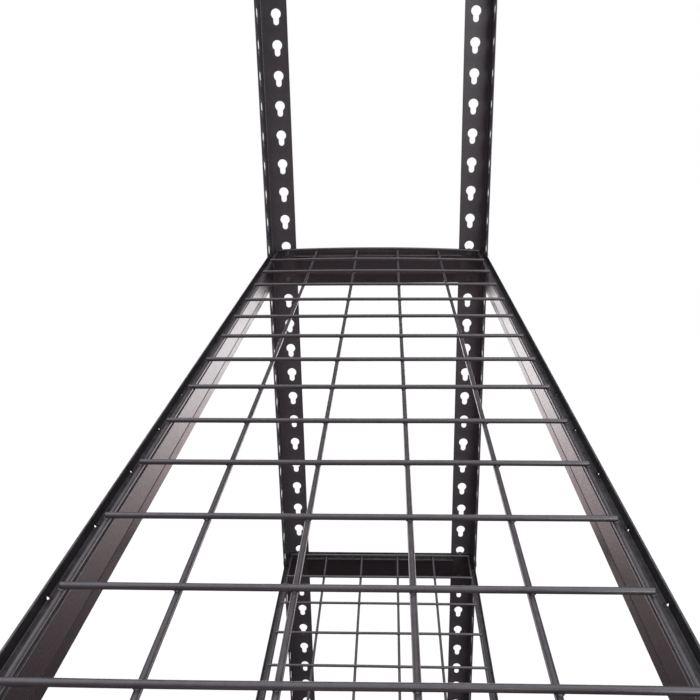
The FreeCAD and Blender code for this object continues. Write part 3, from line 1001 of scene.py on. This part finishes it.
def floorMaterial():
    # pale paper that fades to plain white with distance; the light it throws back grows towards the far end,
    # and again in front of the near end
    v = stageValues
    material = bpy.data.materials.new("studioFloor")
    material.use_nodes = True
    tree = material.node_tree
    paper = tree.nodes["Principled BSDF"]
    paper.inputs["Base Color"].default_value = (*v["floorColour"], 1)
    paper.inputs["Roughness"].default_value = v["floorRoughness"]
    seen = tree.nodes.new("ShaderNodeLightPath").outputs["Is Camera Ray"]
    place = tree.nodes.new("ShaderNodeTexCoord").outputs["Object"]
    length = tree.nodes.new("ShaderNodeVectorMath")
    length.operation = "LENGTH"
    split = tree.nodes.new("ShaderNodeSeparateXYZ")
    tree.links.new(place, length.inputs[0])
    tree.links.new(place, split.inputs[0])
    near, far = v["glowReach"]
    glow = rangeNode(tree, length.outputs["Value"], (near, v["nearGlow"]), (far, 1.0))
    white, bounce = (tree.nodes.new("ShaderNodeEmission") for _ in range(2))
    back = mathNode(tree, "MULTIPLY", split.outputs["X"], -1.0)
    (start, low), (end, high) = v["bounceFrom"], v["bounceTo"]
    away = rangeNode(tree, back, (-start, 0.0), (-end, 1.0))
    front = rangeNode(tree, split.outputs["X"], v["frontFrom"], v["frontTo"])
    behind = mathNode(tree, "MULTIPLY_ADD", away, high - low, low)
    tree.links.new(mathNode(tree, "ADD", behind, front), bounce.inputs["Strength"])
    tree.links.new(mixColour(tree, away, (*v["nearTint"], 1), (*v["farTint"], 1)), bounce.inputs["Color"])
    shown, mix = (tree.nodes.new("ShaderNodeMixShader") for _ in range(2))
    tree.links.new(glow, shown.inputs["Fac"])
    tree.links.new(paper.outputs["BSDF"], shown.inputs[1])
    tree.links.new(white.outputs["Emission"], shown.inputs[2])
    tree.links.new(seen, mix.inputs["Fac"])
    tree.links.new(bounce.outputs["Emission"], mix.inputs[1])
    tree.links.new(shown.outputs["Shader"], mix.inputs[2])
    tree.links.new(mix.outputs["Shader"], tree.nodes["Material Output"].inputs["Surface"])
    return material


def studioSky():
    # plain white behind the object; the light itself is strongest overhead and weak at the horizon
    v = stageValues
    world = bpy.data.worlds.new("studioSky")
    world.use_nodes = True
    tree = world.node_tree
    light = tree.nodes["Background"]
    light.inputs["Color"].default_value = (*v["skyTint"], 1)
    split = tree.nodes.new("ShaderNodeSeparateXYZ")
    tree.links.new(tree.nodes.new("ShaderNodeTexCoord").outputs["Generated"], split.inputs[0])
    rise = rangeNode(tree, split.outputs["Z"], v["skyRim"], v["skyTop"])
    tree.links.new(rise, light.inputs["Strength"])
    plain = tree.nodes.new("ShaderNodeBackground")
    plain.inputs["Color"].default_value = (1, 1, 1, 1)
    mix = tree.nodes.new("ShaderNodeMixShader")
    tree.links.new(tree.nodes.new("ShaderNodeLightPath").outputs["Is Camera Ray"], mix.inputs["Fac"])
    tree.links.new(light.outputs["Background"], mix.inputs[1])
    tree.links.new(plain.outputs["Background"], mix.inputs[2])
    tree.links.new(mix.outputs["Shader"], tree.nodes["World Output"].inputs["Surface"])
    return world


def buildStage():
    v = stageValues
    half = v["floorSize"] / 2
    mesh = bpy.data.meshes.new("studioFloor")
    corners = [(-half, -half, 0), (half, -half, 0), (half, half, 0), (-half, half, 0)]
    mesh.from_pydata(corners, [], [(0, 1, 2, 3)])
    mesh.materials.append(floorMaterial())
    floor = bpy.data.objects.new("studioFloor", mesh)
    bpy.context.scene.collection.objects.link(floor)
    bpy.context.scene.world = studioSky()
    bpy.context.scene.view_settings.view_transform = "Standard"


def addSoftLight(name, place, target, power, size):
    data = bpy.data.lights.new(name, "AREA")
    data.energy, data.size, data.shape = power, size, "SQUARE"
    light = bpy.data.objects.new(name, data)
    light.location = place
    light.rotation_euler = (Vector(target) - Vector(place)).to_track_quat("-Z", "Y").to_euler()
    bpy.context.scene.collection.objects.link(light)
    return light


def buildCamera():
    v = cameraValues
    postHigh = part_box("post_front_right")[1]
    pitch, yaw, roll = (math.radians(v[key]) for key in ("pitch", "yaw", "roll"))
    slotHeight = postHigh.z - postValues["pitch"] * (0.5 + v["viewedSlot"])
    place = Vector((postHigh.x + v["beyondEnd"], v["sideways"], slotHeight + v["aboveHole"]))
    forward = Vector((-math.cos(yaw) * math.cos(pitch), math.sin(yaw) * math.cos(pitch), -math.sin(pitch)))
    right = forward.cross(Vector((0, 0, 1))).normalized()
    down = forward.cross(right)
    rolledRight = math.cos(roll) * right + math.sin(roll) * down
    rolledDown = -math.sin(roll) * right + math.cos(roll) * down
    data = bpy.data.cameras.new("viewCamera")
    data.lens, data.sensor_width = v["lens"], 36.0
    data.shift_x, data.shift_y = v["shiftX"], v["shiftY"]
    data.clip_start, data.clip_end = 0.01, 60.0
    camera = bpy.data.objects.new("viewCamera", data)
    camera.matrix_world = Matrix((
        (rolledRight.x, -rolledDown.x, -forward.x, place.x),
        (rolledRight.y, -rolledDown.y, -forward.y, place.y),
        (rolledRight.z, -rolledDown.z, -forward.z, place.z),
        (0, 0, 0, 1),
    ))
    bpy.context.scene.collection.objects.link(camera)
    bpy.context.scene.camera = camera


buildStage()
middle = (0, 0, (cadBox[0].z + cadBox[1].z) / 2)
for name in ("key", "fill"):
    values = [stageValues[name + part] for part in ("Place", "Power", "Size")]
    addSoftLight(name + "Light", values[0], middle, values[1], values[2])
buildCamera()
print("stage and camera set")
